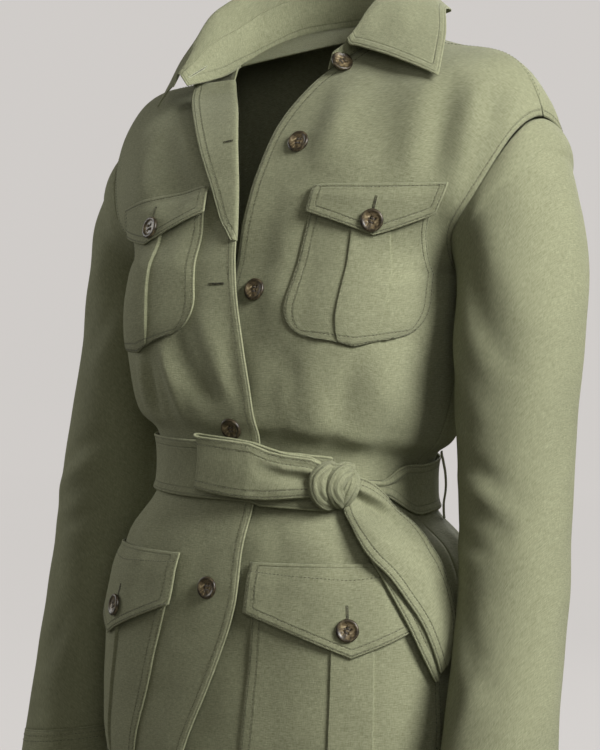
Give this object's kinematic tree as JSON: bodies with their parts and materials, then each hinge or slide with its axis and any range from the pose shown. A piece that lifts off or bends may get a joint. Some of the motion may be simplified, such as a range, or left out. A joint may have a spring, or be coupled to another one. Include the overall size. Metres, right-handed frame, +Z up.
{
  "type": "belted linen safari jacket",
  "caption": "Worn linen safari jacket with an open neck, shirt collar, dropped shoulders, flapped patch pockets and a tied cloth belt.",
  "frame": {"origin": "inside the neck opening, level with the top of the shoulder seams, where the wearer's neck meets the shoulders", "axes": "+Z up, +X towards the wearer's left, the front faces -Y"},
  "size_m": [0.5878, 0.2662, 0.7878],
  "materials": {
    "linen": "matt plain weave with a soft sheen",
    "button": "polished mottled horn look"
  },
  "bodies": {
    "root": {"back": "linen", "front_left": "linen", "front_right": "linen", "front_right_turnback": "linen", "sleeve_left": "linen", "sleeve_right": "linen", "cuff_left": "linen", "cuff_right": "linen", "collar_stand": "linen", "collar_leaf": "linen", "pocket_chest_left": "linen", "pocket_chest_right": "linen", "pocket_hip_left": "linen", "pocket_hip_right": "linen", "flap_chest_left": "linen", "flap_chest_right": "linen", "flap_hip_left": "linen", "flap_hip_right": "linen", "belt_band": "linen", "belt_bow": "linen", "belt_knot": "linen", "belt_tail_front": "linen", "belt_tail_back": "linen", "belt_carrier_left": "linen", "belt_carrier_right": "linen", "button_stand": "button", "button_front_1": "button", "button_front_2": "button", "button_front_3": "button", "button_front_4": "button", "button_chest_left": "button", "button_chest_right": "button", "button_hip_left": "button", "button_hip_right": "button"}
  },
  "joints": []
}
